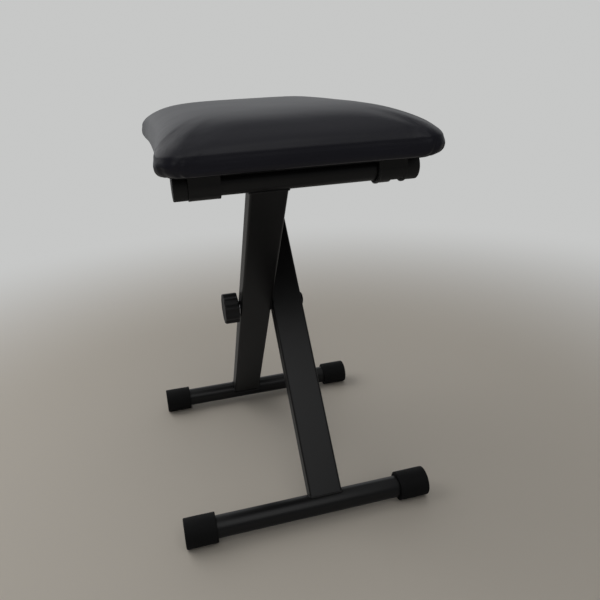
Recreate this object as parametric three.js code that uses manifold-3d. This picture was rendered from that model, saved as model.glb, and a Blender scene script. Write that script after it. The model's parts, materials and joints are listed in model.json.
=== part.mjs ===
import * as THREE from 'three';
import { mergeVertices } from 'three/addons/utils/BufferGeometryUtils.js';
import Module from 'manifold-3d';

// Folding bench on two crossed legs, with a padded seat on the two upper bars.
// Millimetres, +Z up, the floor at z = 0. X runs along the bars, and the legs spread along Y.
// Leg A leans towards -Y at the top. The near bars are at -Y and the far bars at +Y.

// Clearances
const pieceGap = 0.3; // between pieces that touch
const boltPlay = 0.3; // round the pivot bolt
const undersideClearance = 0.4; // between the upper caps and the seat
const cutOverrun = 2; // how far a cutter runs past what it cuts
const weldTolerance = 1e-4; // vertices closer than this are one

// Crossed legs, each a flat-sided tube
const legWidth = 40;
const legDepth = 20;
const legWall = 1.5;
const legCorner = 2.2;
const legInnerCorner = 0.7;
const legLower = 259; // foot bar axis to pivot
const legUpper = 234.5; // pivot to upper bar axis
const legLean = THREE.MathUtils.degToRad(37.1); // from upright

// Round cross bars
const barDiameter = 26;
const barWall = 1.5;
const footBarSpan = 300; // over its end caps
const upperBarSpan = 250;
const upperBarShift = 10; // its middle, beside the plane between the legs

// Rubber foot caps
const footCapDiameter = 35;
const footCapLength = 37;
const footCapEnd = 4;
const footCapEdge = 2.2;
const soleCut = 0.5; // the flat that stands on the floor

// Plastic caps of the upper bars
const upperCapDiameter = 30;
const upperCapLength = 14;
const upperCapEnd = 3;
const upperCapEdge = 1.6;

// Pivot bolt, washers and spacers
const boltDiameter = 8;
const boltHeadDiameter = 17;
const boltHeadHeight = 3.2;
const boltHeadRim = 0.9; // upright edge below the dome
const boltTipChamfer = 1;
const spacerDiameter = 14;
const frictionWasherDiameter = 19;
const frictionWasherThickness = 1;
const clampWasherDiameter = 18;
const clampWasherThickness = 1.2;

// Clamping knob
const knobDiameter = 40;
const knobGripLength = 18.2;
const knobCollarDiameter = 23;
const knobCollarLength = 0.8;
const knobFace = 3.2; // closed face over the end of the bolt
const knobEdge = 1.5;
const knobFluteDepth = 1.5;
const knobFlutes = 10;
const nutAcrossFlats = 13;
const nutThickness = 6.5;

// Seat
const seatWidth = 272;
const seatShift = 5; // of the seat's middle towards +X
const seatOverhang = 71.55; // past the axis of each upper bar
const crownHeight = 30.7; // above the ridge round the pad's top
const ridgeHeight = 18.6; // above the lower edge of the cover
const ridgeInset = 1.5;
const widestHeight = 10.6; // above the lower edge of the cover
const sideDraw = 6; // how far the long sides pull in between the corners
const endDraw = 4.2; // the same of the front and rear
const seatCorner = 22;
const hemRadius = 6.5;
const crownSquareness = { across: 3.9, along: 4.4 }; // powers of the crown's outline
const crownFullness = { across: 0.39, along: 0.55 }; // powers of its section
const coverThickness = 1.2;
const coverTurnIn = 24; // cover folded under the board
const clothThickness = 0.6;
const clothInset = 11;
const boardThickness = 12;
const boardCorner = 20;

// Hinge straps, their sleeves and screws
const strapWidth = 31;
const strapThickness = 1.4;
const strapRim = 2.4;
const strapRimRise = 0.6;
const strapFlange = 14;
const sleeveWall = 0.8;
const screwHeadDiameter = 7;
const screwHeadHeight = 1.8;
const screwDiameter = 3.6;
const screwLength = 12.5;
const screwPoint = 3;
const screwFaceDiameter = 4.9; // flat of a round head
const sinkClearance = 0.4; // round a countersunk head
const sinkDepth = 0.2; // its face above the rail's lower face
const strapScrewSpacing = 17;

// Rails that rest on the far upper bar
const railWidth = 20;
const railOffset = 68; // from the middle of the seat
const railClearance = 5.5; // from a strap's flange
const railLipDrop = 12;
const railEndPlay = 0.5;
const railScrewInset = 22;
const openLean = THREE.MathUtils.degToRad(42.1); // the legs' lean at the lowest seat height

// Mesh fineness
const roundSides = 24;
const smallSides = 16;
const screwSides = 8;
const strapSteps = 8;
const edgeSteps = 2;
const pointsPerFlute = 6;
const finePad = { perSide: 8, perCorner: 5, hemSteps: 3, crownStride: 1 };
const coarsePad = { perSide: 4, perCorner: 3, hemSteps: 2, crownStride: 2 };
const crownRingShares = [0.996, 0.985, 0.965, 0.93, 0.87, 0.76, 0.6, 0.4, 0.2]; // of the outline

// Derived sizes
const barRadius = barDiameter / 2;
const boltHoleRadius = boltDiameter / 2 + boltPlay;
const frictionGap = frictionWasherThickness + 2 * pieceGap;
const legOffset = (legWidth + frictionGap) / 2;
const legFace = legOffset + legWidth / 2; // outer face of a leg, from the middle
const footAxisHeight = footCapDiameter / 2 - soleCut;
const pivotHeight = footAxisHeight + legLower * Math.cos(legLean);
const upperBarHeight = pivotHeight + legUpper * Math.cos(legLean);
const upperBarPlace = legUpper * Math.sin(legLean); // from the middle, along Y
const undersideHeight = upperBarHeight + upperCapDiameter / 2 + undersideClearance;
const clothTop = undersideHeight + clothThickness;
const coverBottom = clothTop + pieceGap;
const boardBottom = coverBottom + coverThickness + pieceGap;
const boardTop = boardBottom + boardThickness;
const boardInset = coverThickness + pieceGap + sideDraw + hemRadius;
const widestLevel = coverBottom + widestHeight;
const ridgeLevel = coverBottom + ridgeHeight;
const seatLength = 2 * (upperBarPlace + seatOverhang);
const sleeveRadius = barRadius + pieceGap + sleeveWall;
const strapInner = sleeveRadius + pieceGap;
const strapOuter = strapInner + strapThickness;
const railStart = upperBarPlace - strapOuter - strapFlange - railClearance; // before the seat's middle
const strapPlace = upperBarSpan / 2 - upperCapLength - pieceGap - strapWidth / 2;
const flangeTop = undersideHeight - pieceGap;
const flangeBottom = flangeTop - strapThickness;
const railBottom = upperBarHeight + barRadius + pieceGap;
const railThickness = flangeTop - railBottom;
const railEnd = 2 * legUpper * Math.sin(openLean) - upperBarPlace + barRadius + railEndPlay;
const railMiddle = (railEnd - railStart) / 2;
const screwHoleRadius = screwDiameter / 2 + pieceGap;

const material = {
  paintedSteel: new THREE.MeshStandardMaterial({ color: 0x26272a, roughness: 0.45, metalness: 0.35 }),
  blackPlastic: new THREE.MeshStandardMaterial({ color: 0x1b1b1d, roughness: 0.55, metalness: 0 }),
  rubber: new THREE.MeshStandardMaterial({ color: 0x141414, roughness: 0.85, metalness: 0 }),
  zincSteel: new THREE.MeshStandardMaterial({ color: 0xa8abad, roughness: 0.35, metalness: 0.9 }),
  blackScrew: new THREE.MeshStandardMaterial({ color: 0x202123, roughness: 0.4, metalness: 0.7 }),
  nylon: new THREE.MeshStandardMaterial({ color: 0x262626, roughness: 0.5, metalness: 0 }),
  vinyl: new THREE.MeshStandardMaterial({ color: 0x1c1c1f, roughness: 0.4, metalness: 0 }),
  foam: new THREE.MeshStandardMaterial({ color: 0xe8ddb5, roughness: 0.95, metalness: 0 }),
  plywood: new THREE.MeshStandardMaterial({ color: 0xb98f5e, roughness: 0.75, metalness: 0 }),
  dustCloth: new THREE.MeshStandardMaterial({ color: 0x17171a, roughness: 0.95, metalness: 0 }),
};

const wasm = await Module();
wasm.setup();

// A closed three.js geometry as a solid that can be joined and cut
function solidOf(geometry) {
  const bare = geometry.clone();
  bare.deleteAttribute('normal');
  bare.deleteAttribute('uv');
  const merged = mergeVertices(bare, weldTolerance);
  const corners = merged.index.array;
  const triVerts = [];
  for (let i = 0; i < corners.length; i += 3) {
    const [a, b, c] = corners.slice(i, i + 3);
    if (a !== b && b !== c && c !== a) triVerts.push(a, b, c);
  }
  return new wasm.Manifold(new wasm.Mesh({
    numProp: 3,
    vertProperties: new Float32Array(merged.attributes.position.array),
    triVerts: new Uint32Array(triVerts),
  }));
}

function geometryOf(solid) {
  const { vertProperties, triVerts } = solid.getMesh();
  const geometry = new THREE.BufferGeometry();
  geometry.setAttribute('position', new THREE.BufferAttribute(vertProperties, 3));
  geometry.setIndex(new THREE.BufferAttribute(triVerts, 1));
  geometry.computeVertexNormals();
  return geometry;
}

function pieceMesh(name, geometry, finish) {
  const mesh = new THREE.Mesh(geometry, finish);
  mesh.name = name;
  return mesh;
}

// A round profile of [distance along X, radius] points, turned about the X axis
function turned(profile, sides = roundSides) {
  const points = profile.map(([along, radius]) => new THREE.Vector2(radius, along));
  return new THREE.LatheGeometry(points, sides).rotateZ(-Math.PI / 2);
}

// A rod along X between two places, as a cutter or a core
function rodAlongX(radius, from, to, sides = roundSides) {
  return turned([[from, 0], [from, radius], [to, radius], [to, 0]], sides);
}

function boxBetween(low, high) {
  const size = high.map((value, i) => value - low[i]);
  const middle = high.map((value, i) => (value + low[i]) / 2);
  return new THREE.BoxGeometry(...size).translate(...middle);
}

// Rectangle with rounded corners, centred, as a shape or a hole
function roundedRectangle(Kind, width, height, radius) {
  const x = width / 2 - radius;
  const y = height / 2 - radius;
  const outline = new Kind();
  outline.absarc(x, y, radius, 0, Math.PI / 2);
  outline.absarc(-x, y, radius, Math.PI / 2, Math.PI);
  outline.absarc(-x, -y, radius, Math.PI, 1.5 * Math.PI);
  outline.absarc(x, -y, radius, 1.5 * Math.PI, 2 * Math.PI);
  return outline;
}

function plate(shape, thickness, bottom, steps = edgeSteps) {
  const settings = { depth: thickness, bevelEnabled: false, curveSegments: steps };
  return new THREE.ExtrudeGeometry(shape, settings).translate(0, 0, bottom);
}

// Round tube along X, centred and open at both ends
function ringAlongX(length, outer, inner) {
  const half = length / 2;
  return turned([[-half, outer], [half, outer], [half, inner], [-half, inner], [-half, outer]]);
}

function barTube(length) {
  return ringAlongX(length, barRadius, barRadius - barWall);
}

// Cap for a bar end. Its mouth faces -X and its outer face is at x = 0.
function endCap(radius, length, wall, edge) {
  const bore = barRadius + pieceGap;
  const chamfer = edge / 2;
  const profile = [[-length, bore], [-length, radius - chamfer], [-length + chamfer, radius]];
  for (let step = 0; step <= edgeSteps; step++) {
    const turn = (step / edgeSteps) * (Math.PI / 2);
    profile.push([-edge + edge * Math.sin(turn), radius - edge + edge * Math.cos(turn)]);
  }
  profile.push([0, 0], [-wall, 0], [-wall, bore], [-length, bore]);
  return turned(profile);
}

// Flat-sided leg tube along Z with the pivot at the origin, shaped to both bars
function legTube(squareHoleSide) {
  const outline = roundedRectangle(THREE.Shape, legWidth, legDepth, legCorner);
  outline.holes.push(roundedRectangle(
    THREE.Path, legWidth - 2 * legWall, legDepth - 2 * legWall, legInnerCorner,
  ));
  const reach = legWidth / 2 + cutOverrun;
  const seat = solidOf(rodAlongX(barRadius + pieceGap, -reach, reach));
  const hole = solidOf(rodAlongX(boltHoleRadius, -reach, reach, smallSides));
  let leg = solidOf(plate(outline, legLower + legUpper, -legLower));
  leg = leg.subtract(seat.translate(0, 0, -legLower)).subtract(seat.translate(0, 0, legUpper));
  leg = leg.subtract(hole);
  if (squareHoleSide) {
    const half = squareHoleSide / 2;
    leg = leg.subtract(solidOf(boxBetween([0, -half, -half], [reach, half, half])));
  }
  return geometryOf(leg);
}

function washer(diameter, thickness) {
  return ringAlongX(thickness, diameter / 2, boltHoleRadius);
}

// Pivot bolt with a domed head at +X and a square neck in the wall of leg B
function pivotBolt(tip) {
  const radius = boltDiameter / 2;
  const headFace = legFace + pieceGap;
  const headRadius = boltHeadDiameter / 2;
  const shank = [[tip, 0], [tip, radius - boltTipChamfer], [tip + boltTipChamfer, radius]];
  const profile = [...shank, [headFace, radius], [headFace, headRadius]];
  for (let step = 0; step <= edgeSteps; step++) {
    const turn = (step / edgeSteps) * (Math.PI / 2);
    const rise = boltHeadRim + (boltHeadHeight - boltHeadRim) * Math.sin(turn);
    profile.push([headFace + rise, headRadius * Math.cos(turn)]);
  }
  const neckStart = legFace - legWall - pieceGap;
  const neck = boxBetween([neckStart, -radius, -radius], [headFace + boltHeadRim, radius, radius]);
  return geometryOf(solidOf(turned(profile, smallSides)).add(solidOf(neck)));
}

// Closed form through rings with equal counts of points, from the lowest ring to the highest
function lofted(rings) {
  const count = rings[0].length;
  const vertices = rings.flat();
  const middleOf = (ring) => ring
    .reduce((sum, point) => sum.add(point), new THREE.Vector3())
    .divideScalar(count);
  const first = vertices.push(middleOf(rings[0])) - 1;
  const last = vertices.push(middleOf(rings[rings.length - 1])) - 1;
  const faces = [];
  for (let i = 0; i < count; i++) {
    const next = (i + 1) % count;
    faces.push(first, next, i);
    for (let low = 0; low < (rings.length - 1) * count; low += count) {
      const high = low + count;
      faces.push(low + i, low + next, high + next);
      faces.push(low + i, high + next, high + i);
    }
    const end = (rings.length - 1) * count;
    faces.push(last, end + i, end + next);
  }
  const geometry = new THREE.BufferGeometry().setFromPoints(vertices);
  geometry.setIndex(faces);
  return geometry;
}

// Fluted knob with a collar towards the leg, a pocket for its nut and a blind bore
function clampKnob(collarFace) {
  const radius = knobDiameter / 2;
  const count = knobFlutes * pointsPerFlute;
  const flutedRing = (shrink, level) => Array.from({ length: count }, (_, i) => {
    const turn = (i / count) * 2 * Math.PI;
    const reach = radius - shrink - knobFluteDepth * Math.cos((turn * knobFlutes) / 2) ** 2;
    return new THREE.Vector3(reach * Math.cos(turn), reach * Math.sin(turn), level);
  });
  const grip = lofted([
    flutedRing(knobEdge, 0),
    flutedRing(0, knobEdge),
    flutedRing(0, knobGripLength - knobEdge),
    flutedRing(knobEdge, knobGripLength),
  ]);
  const gripEnd = collarFace - knobCollarLength - knobGripLength;
  grip.rotateY(Math.PI / 2).translate(gripEnd, 0, 0);
  const collarRoot = collarFace - knobCollarLength - knobEdge;
  const collar = rodAlongX(knobCollarDiameter / 2, collarRoot, collarFace);
  const bore = rodAlongX(boltHoleRadius, gripEnd + knobFace, collarFace + cutOverrun, smallSides);
  const pocketRadius = nutAcrossFlats / Math.sqrt(3) + pieceGap;
  const pocketEnd = collarFace - nutThickness - 2 * pieceGap;
  const pocket = rodAlongX(pocketRadius, pocketEnd, collarFace + cutOverrun, 6);
  return geometryOf(solidOf(grip).add(solidOf(collar)).subtract(solidOf(bore)).subtract(solidOf(pocket)));
}

function hexNut(face) {
  const body = rodAlongX(nutAcrossFlats / Math.sqrt(3), face - nutThickness, face, 6);
  const bore = rodAlongX(boltHoleRadius, face - nutThickness - cutOverrun, face + cutOverrun, smallSides);
  return geometryOf(solidOf(body).subtract(solidOf(bore)));
}

// Outline of the pad from above: rounded corners, with the sides between them drawn in
function padOutline(inset, { perSide, perCorner }) {
  const radius = seatCorner - inset;
  const flatWidth = seatWidth / 2 - seatCorner;
  const flatLength = seatLength / 2 - seatCorner;
  const ring = [];
  const sides = [
    { corner: [flatWidth, flatLength], start: 0, along: 'x', flat: flatWidth, draw: endDraw },
    { corner: [-flatWidth, flatLength], start: Math.PI / 2, along: 'y', flat: flatLength, draw: sideDraw },
    { corner: [-flatWidth, -flatLength], start: Math.PI, along: 'x', flat: flatWidth, draw: endDraw },
    { corner: [flatWidth, -flatLength], start: 1.5 * Math.PI, along: 'y', flat: flatLength, draw: sideDraw },
  ];
  sides.forEach(({ corner, start, along, flat, draw }, i) => {
    const turn = new THREE.Vector2();
    for (let step = 0; step <= perCorner; step++) {
      const angle = start + (step / perCorner) * (Math.PI / 2);
      turn.set(Math.cos(angle), Math.sin(angle));
      ring.push(new THREE.Vector2(...corner).addScaledVector(turn, radius));
    }
    const outward = turn.clone();
    const from = ring[ring.length - 1].clone();
    const to = new THREE.Vector2(...sides[(i + 1) % sides.length].corner).addScaledVector(outward, radius);
    for (let step = 1; step < perSide; step++) {
      const point = from.clone().lerp(to, step / perSide);
      const pull = draw * (1 - (point[along] / flat) ** 2);
      ring.push(point.addScaledVector(outward, -pull));
    }
  });
  return ring;
}

// Closed crowned form of the pad, smaller all round by an inset, from a floor level upwards
function padForm(inset, floorLevel, fineness) {
  const rim = padOutline(inset, fineness);
  const halfWidth = seatWidth / 2 - inset;
  const halfLength = seatLength / 2 - inset;
  const drawnIn = (margin, level) => rim.map((point) => new THREE.Vector3(
    seatShift + point.x * (1 - margin / halfWidth),
    point.y * (1 - margin / halfLength),
    level,
  ));
  const rings = [];
  const hem = Math.max(hemRadius - inset, pieceGap);
  for (let step = 0; step <= fineness.hemSteps; step++) {
    const turn = (step / fineness.hemSteps) * (Math.PI / 2);
    rings.push(drawnIn(hem * (1 - Math.sin(turn)), floorLevel + hem * (1 - Math.cos(turn))));
  }
  rings.push(drawnIn(0, widestLevel));
  const ridge = drawnIn(ridgeInset, ridgeLevel);
  rings.push(ridge);
  crownRingShares.filter((share, i) => i % fineness.crownStride === 0).forEach((share) => {
    rings.push(rim.map((point, i) => {
      const reach = Math.max(Math.abs(point.x) / halfWidth, Math.abs(point.y) / halfLength) / share;
      const across = 1 - (Math.abs(point.x) / halfWidth / reach) ** crownSquareness.across;
      const along = 1 - (Math.abs(point.y) / halfLength / reach) ** crownSquareness.along;
      const rise = across ** crownFullness.across * along ** crownFullness.along;
      return new THREE.Vector3(
        seatShift + (ridge[i].x - seatShift) * share,
        ridge[i].y * share,
        ridgeLevel + (crownHeight - inset) * rise,
      );
    }));
  });
  return solidOf(lofted(rings));
}

// Places of the screws under the seat: [x, y]
const flangeMiddle = strapOuter + strapFlange / 2;
const strapScrews = (middle) => [-1, 1].flatMap((row) => [-1, 1].map((side) => [
  middle + (row * strapScrewSpacing) / 2,
  -upperBarPlace + side * flangeMiddle,
]));
const railScrews = (middle) => [-railStart + railScrewInset, railMiddle, railEnd - railScrewInset]
  .map((place) => [middle, place]);

// Wood screws pointing up: a round head below z = 0, or a countersunk one with its face at z = 0
const screwHead = screwHeadDiameter / 2;
const screwShank = screwDiameter / 2;
const shankProfile = [[screwLength - screwPoint, screwShank], [screwLength, 0]];
const roundHeadProfile = [
  [-screwHeadHeight, 0],
  [-screwHeadHeight, screwFaceDiameter / 2],
  [-screwHeadHeight / 2, screwHead],
  [0, screwHead],
  [0, screwShank],
  ...shankProfile,
];
const sunkHeadProfile = [[0, 0], [0, screwHead], [screwHeadHeight, screwShank], ...shankProfile];

function screws(prefix, places, profile, level) {
  return places.map(([x, y], i) => {
    const geometry = turned(profile, screwSides).rotateY(-Math.PI / 2);
    const screw = pieceMesh(`${prefix}_${i + 1}`, geometry, material.blackScrew);
    screw.position.set(x, y, level);
    return screw;
  });
}

// Upright cutters for the screws at a list of places
function screwHoles(places, from, to) {
  const rods = places.map(([x, y]) => {
    const rod = new THREE.CylinderGeometry(screwHoleRadius, screwHoleRadius, to - from, screwSides);
    return solidOf(rod.rotateX(Math.PI / 2).translate(x, y, (from + to) / 2));
  });
  return wasm.Manifold.union(rods);
}

// Saddle strap round the near upper bar, drawn in the YZ plane, with a rim at each end
function hingeStrap(middle) {
  const top = flangeTop - upperBarHeight;
  const low = flangeBottom - upperBarHeight;
  const tip = strapOuter + strapFlange;
  const saddle = new THREE.Shape();
  saddle.moveTo(-strapInner, top);
  saddle.lineTo(-strapInner, 0);
  saddle.absarc(0, 0, strapInner, Math.PI, 2 * Math.PI);
  saddle.lineTo(strapInner, top);
  saddle.lineTo(tip, top);
  saddle.lineTo(tip, low);
  saddle.lineTo(strapOuter, low);
  saddle.lineTo(strapOuter, 0);
  saddle.absarc(0, 0, strapOuter, 2 * Math.PI, Math.PI, true);
  saddle.lineTo(-strapOuter, low);
  saddle.lineTo(-tip, low);
  saddle.lineTo(-tip, top);
  const rimBand = new THREE.Shape();
  rimBand.absarc(0, 0, strapOuter + strapRimRise, Math.PI, 2 * Math.PI);
  rimBand.absarc(0, 0, (strapInner + strapOuter) / 2, 2 * Math.PI, Math.PI, true);
  const swept = (shape, length, start) => solidOf(plate(shape, length, start, strapSteps));
  const strap = swept(saddle, strapWidth, 0)
    .add(swept(rimBand, strapRim, 0))
    .add(swept(rimBand, strapRim, strapWidth - strapRim));
  const placed = geometryOf(strap).rotateX(Math.PI / 2).rotateZ(Math.PI / 2)
    .translate(middle - strapWidth / 2, -upperBarPlace, upperBarHeight);
  const holes = screwHoles(strapScrews(middle), flangeBottom - cutOverrun, flangeTop + cutOverrun);
  return geometryOf(solidOf(placed).subtract(holes));
}

// Flat rail under the seat, countersunk from below, with a turned-down lip that stops the far bar
function restRail(middle) {
  const side = railWidth / 2;
  const lipEnd = railEnd + railThickness;
  const flat = boxBetween([middle - side, -railStart, railBottom], [middle + side, railEnd, flangeTop]);
  const lip = boxBetween(
    [middle - side, railEnd, railBottom - railLipDrop],
    [middle + side, lipEnd, flangeTop],
  );
  const sinkProfile = [
    [-sinkDepth - cutOverrun, 0],
    [-sinkDepth - cutOverrun, screwHead + sinkClearance],
    [0, screwHead + sinkClearance],
    [screwHeadHeight, screwShank + sinkClearance],
    [screwHeadHeight + cutOverrun, screwShank + sinkClearance],
    [screwHeadHeight + cutOverrun, 0],
  ];
  const sinks = railScrews(middle).map(([x, y]) => solidOf(
    turned(sinkProfile, screwSides).rotateY(-Math.PI / 2).translate(x, y, railScrewFace),
  ));
  return geometryOf(solidOf(flat).add(solidOf(lip)).subtract(wasm.Manifold.union(sinks)));
}

const strapMiddles = [upperBarShift - strapPlace, upperBarShift + strapPlace];
const railMiddles = [seatShift - railOffset, seatShift + railOffset];
const screwPlaces = [...strapMiddles.flatMap(strapScrews), ...railMiddles.flatMap(railScrews)];
const strapHeadTop = flangeBottom - pieceGap;
const railScrewFace = railBottom + sinkDepth;

// Flat panel under the pad, smaller all round than the seat by an inset
function seatPanel(inset, thickness, bottom) {
  const shape = roundedRectangle(
    THREE.Shape, seatWidth - 2 * inset, seatLength - 2 * inset, boardCorner,
  );
  return solidOf(plate(shape, thickness, bottom).translate(seatShift, 0, 0));
}

function seatPieces() {
  const holeTop = railScrewFace + screwLength + pieceGap;
  const holes = screwHoles(screwPlaces, flangeBottom - cutOverrun, holeTop);
  const opening = seatPanel(coverTurnIn, coverThickness + 2 * cutOverrun, coverBottom - cutOverrun);
  const cover = padForm(0, coverBottom, finePad)
    .subtract(padForm(coverThickness, coverBottom + coverThickness, coarsePad))
    .subtract(opening)
    .subtract(holes);
  const foamFloor = boardTop + pieceGap;
  const belowFoam = boxBetween(
    [-seatWidth, -seatLength, coverBottom - cutOverrun],
    [seatWidth, seatLength, foamFloor],
  );
  const foamInset = coverThickness + pieceGap;
  const foam = padForm(foamInset, coverBottom + foamInset, coarsePad).subtract(solidOf(belowFoam));
  const board = seatPanel(boardInset, boardThickness, boardBottom).subtract(holes);
  const cloth = seatPanel(clothInset, clothThickness, undersideHeight).subtract(holes);
  const pieces = [
    pieceMesh('seat_cover', geometryOf(cover), material.vinyl),
    pieceMesh('seat_foam', geometryOf(foam), material.foam),
    pieceMesh('seat_board', geometryOf(board), material.plywood),
    pieceMesh('dust_cloth', geometryOf(cloth), material.dustCloth),
  ];
  ['left', 'right'].forEach((side, i) => {
    const strapX = strapMiddles[i];
    const railX = railMiddles[i];
    pieces.push(
      pieceMesh(`hinge_strap_${side}`, hingeStrap(strapX), material.paintedSteel),
      ...screws(`strap_screw_${side}`, strapScrews(strapX), roundHeadProfile, strapHeadTop),
      pieceMesh(`rest_rail_${side}`, restRail(railX), material.paintedSteel),
      ...screws(`rail_screw_${side}`, railScrews(railX), sunkHeadProfile, railScrewFace),
    );
  });
  return pieces;
}

// The two caps of a bar whose middle is at x = shift
function capPair(prefix, geometry, span, shift, height, finish) {
  const right = pieceMesh(`${prefix}_right`, geometry, finish);
  right.position.x = shift + span / 2;
  const left = pieceMesh(`${prefix}_left`, geometry.clone().rotateZ(Math.PI), finish);
  left.position.x = shift - span / 2;
  const pair = new THREE.Group();
  pair.position.z = height;
  return pair.add(left, right);
}

// One crossed leg with its foot bar, its upper bar and their caps, with the pivot at the origin
function legFrame(letter, lean, footPrefix, upperPrefix, shift, squareHoleSide) {
  const frame = new THREE.Group();
  frame.position.z = pivotHeight;
  frame.rotation.x = lean;
  const leg = pieceMesh(`leg_${letter}`, legTube(squareHoleSide), material.paintedSteel);
  leg.position.x = -Math.sign(lean) * legOffset;
  const spacerLength = legWidth - 2 * legWall - 2 * pieceGap;
  const spacer = pieceMesh(`spacer_${letter}`, washer(spacerDiameter, spacerLength), material.zincSteel);
  spacer.position.x = leg.position.x;

  const footTubeLength = footBarSpan - 2 * (footCapEnd + pieceGap);
  const footBar = pieceMesh(`${footPrefix}_bar`, barTube(footTubeLength), material.paintedSteel);
  footBar.position.z = -legLower;
  const upperTubeLength = upperBarSpan - 2 * (upperCapEnd + pieceGap);
  const upperBar = pieceMesh(`${upperPrefix}_bar`, barTube(upperTubeLength), material.paintedSteel);
  upperBar.position.set(shift, 0, legUpper);

  // Foot caps stand upright on the floor, so their flat soles don't lean with the leg
  const capRadius = footCapDiameter / 2;
  const floorCut = boxBetween(
    [-footCapLength - cutOverrun, -capRadius - cutOverrun, -capRadius - cutOverrun],
    [cutOverrun, capRadius + cutOverrun, -capRadius + soleCut],
  );
  const plainCap = endCap(capRadius, footCapLength, footCapEnd, footCapEdge);
  const footCap = geometryOf(solidOf(plainCap).subtract(solidOf(floorCut)));
  const feet = capPair(`${footPrefix}_cap`, footCap, footBarSpan, 0, -legLower, material.rubber);
  feet.rotation.x = -lean;
  const upperCap = endCap(upperCapDiameter / 2, upperCapLength, upperCapEnd, upperCapEdge);
  const upperCaps = capPair(
    `${upperPrefix}_cap`, upperCap, upperBarSpan, shift, legUpper, material.blackPlastic,
  );
  return frame.add(leg, spacer, footBar, feet, upperBar, upperCaps);
}

function barSleeve(side, middle) {
  const inner = barRadius + pieceGap;
  const ring = ringAlongX(strapWidth, sleeveRadius, inner);
  const sleeve = pieceMesh(`bar_sleeve_${side}`, ring, material.nylon);
  sleeve.position.set(middle, -upperBarPlace, upperBarHeight);
  return sleeve;
}

function pivotPieces() {
  const pivot = new THREE.Group();
  pivot.position.z = pivotHeight;
  const clampWasherFace = -legFace - pieceGap;
  const collarFace = clampWasherFace - clampWasherThickness - pieceGap;
  const boltTip = collarFace - knobCollarLength - knobGripLength + knobFace + pieceGap;
  const frictionWasher = pieceMesh(
    'friction_washer', washer(frictionWasherDiameter, frictionWasherThickness), material.nylon,
  );
  const clampWasher = pieceMesh(
    'clamp_washer', washer(clampWasherDiameter, clampWasherThickness), material.zincSteel,
  );
  clampWasher.position.x = clampWasherFace - clampWasherThickness / 2;
  const bolt = pieceMesh('pivot_bolt', pivotBolt(boltTip), material.blackScrew);
  bolt.rotation.x = -legLean; // its neck sits square in leg B
  pivot.add(
    frictionWasher,
    clampWasher,
    bolt,
    pieceMesh('clamp_knob', clampKnob(collarFace), material.blackPlastic),
    pieceMesh('knob_nut', hexNut(collarFace - pieceGap), material.zincSteel),
  );
  return pivot;
}

const bench = new THREE.Group();
bench.add(legFrame('a', legLean, 'far_foot', 'near_upper', upperBarShift, 0));
bench.add(legFrame('b', -legLean, 'near_foot', 'far_upper', upperBarShift, boltDiameter + 2 * boltPlay));
bench.add(pivotPieces());
['left', 'right'].forEach((side, i) => bench.add(barSleeve(side, strapMiddles[i])));
bench.add(...seatPieces());

export default bench;
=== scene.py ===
import json
import random
from math import atan2, cos, exp, hypot, pi, radians, sin, sqrt, tan

import bpy
import numpy as np
from mathutils import Matrix, Vector, noise
from mathutils.kdtree import KDTree

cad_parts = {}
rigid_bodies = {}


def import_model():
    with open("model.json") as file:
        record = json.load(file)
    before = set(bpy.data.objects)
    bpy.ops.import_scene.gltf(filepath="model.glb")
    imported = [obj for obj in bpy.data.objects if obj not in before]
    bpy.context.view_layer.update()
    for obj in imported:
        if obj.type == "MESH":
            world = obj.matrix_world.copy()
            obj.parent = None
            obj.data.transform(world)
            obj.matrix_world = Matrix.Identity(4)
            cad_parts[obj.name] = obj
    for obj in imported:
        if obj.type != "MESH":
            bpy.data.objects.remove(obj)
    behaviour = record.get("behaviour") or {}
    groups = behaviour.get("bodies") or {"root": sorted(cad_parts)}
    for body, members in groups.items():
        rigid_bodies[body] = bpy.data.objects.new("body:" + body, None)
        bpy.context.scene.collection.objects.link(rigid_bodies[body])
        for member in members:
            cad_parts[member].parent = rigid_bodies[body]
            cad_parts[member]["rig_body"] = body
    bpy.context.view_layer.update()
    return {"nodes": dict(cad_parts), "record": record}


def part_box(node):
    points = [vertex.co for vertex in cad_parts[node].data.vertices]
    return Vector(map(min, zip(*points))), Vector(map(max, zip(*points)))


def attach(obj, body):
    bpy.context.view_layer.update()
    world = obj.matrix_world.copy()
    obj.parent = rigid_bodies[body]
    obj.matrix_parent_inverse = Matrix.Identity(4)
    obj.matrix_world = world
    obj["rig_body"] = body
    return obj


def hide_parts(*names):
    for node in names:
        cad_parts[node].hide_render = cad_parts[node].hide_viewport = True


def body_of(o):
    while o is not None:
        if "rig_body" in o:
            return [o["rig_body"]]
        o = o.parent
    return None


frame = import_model()
scene = bpy.context.scene
quarterTurn = pi / 2
quarters = ((1, 1), (-1, 1), (-1, -1), (1, -1))  # signs of a rectangle's corners, in turn
print("frame loaded with", len(frame["nodes"]), "nodes")


# Dictionary whose values can also be read as names
class Settings(dict):
    __getattr__ = dict.__getitem__


def linked(name, data):
    item = bpy.data.objects.new(name, data)
    scene.collection.objects.link(item)
    return item


def plainMesh(name, points, faces):
    mesh = bpy.data.meshes.new(name)
    mesh.from_pydata([tuple(point) for point in points], [], faces)
    return mesh


def evaluatedMesh(item):
    graph = bpy.context.evaluated_depsgraph_get()
    return bpy.data.meshes.new_from_object(item.evaluated_get(graph))


# 0 at the start and 1 past the width
def ramp(value, start, width):
    return min(max((value - start) / width, 0), 1)


def smooth(share):
    return share * share * (3 - 2 * share)


# Camera: fitted to the photograph's legs, bars, caps, knob and seat outline
cameraView = Settings(
    place=(-0.142372, -0.719991, 0.508094),
    yaw=0.24915,  # from +Y towards +X
    pitch=0.36876,  # downwards
    roll=0.05189,
    focalLength=596.115 / 600 * 36,
    sensor=36,
    nearest=0.01,
)


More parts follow.
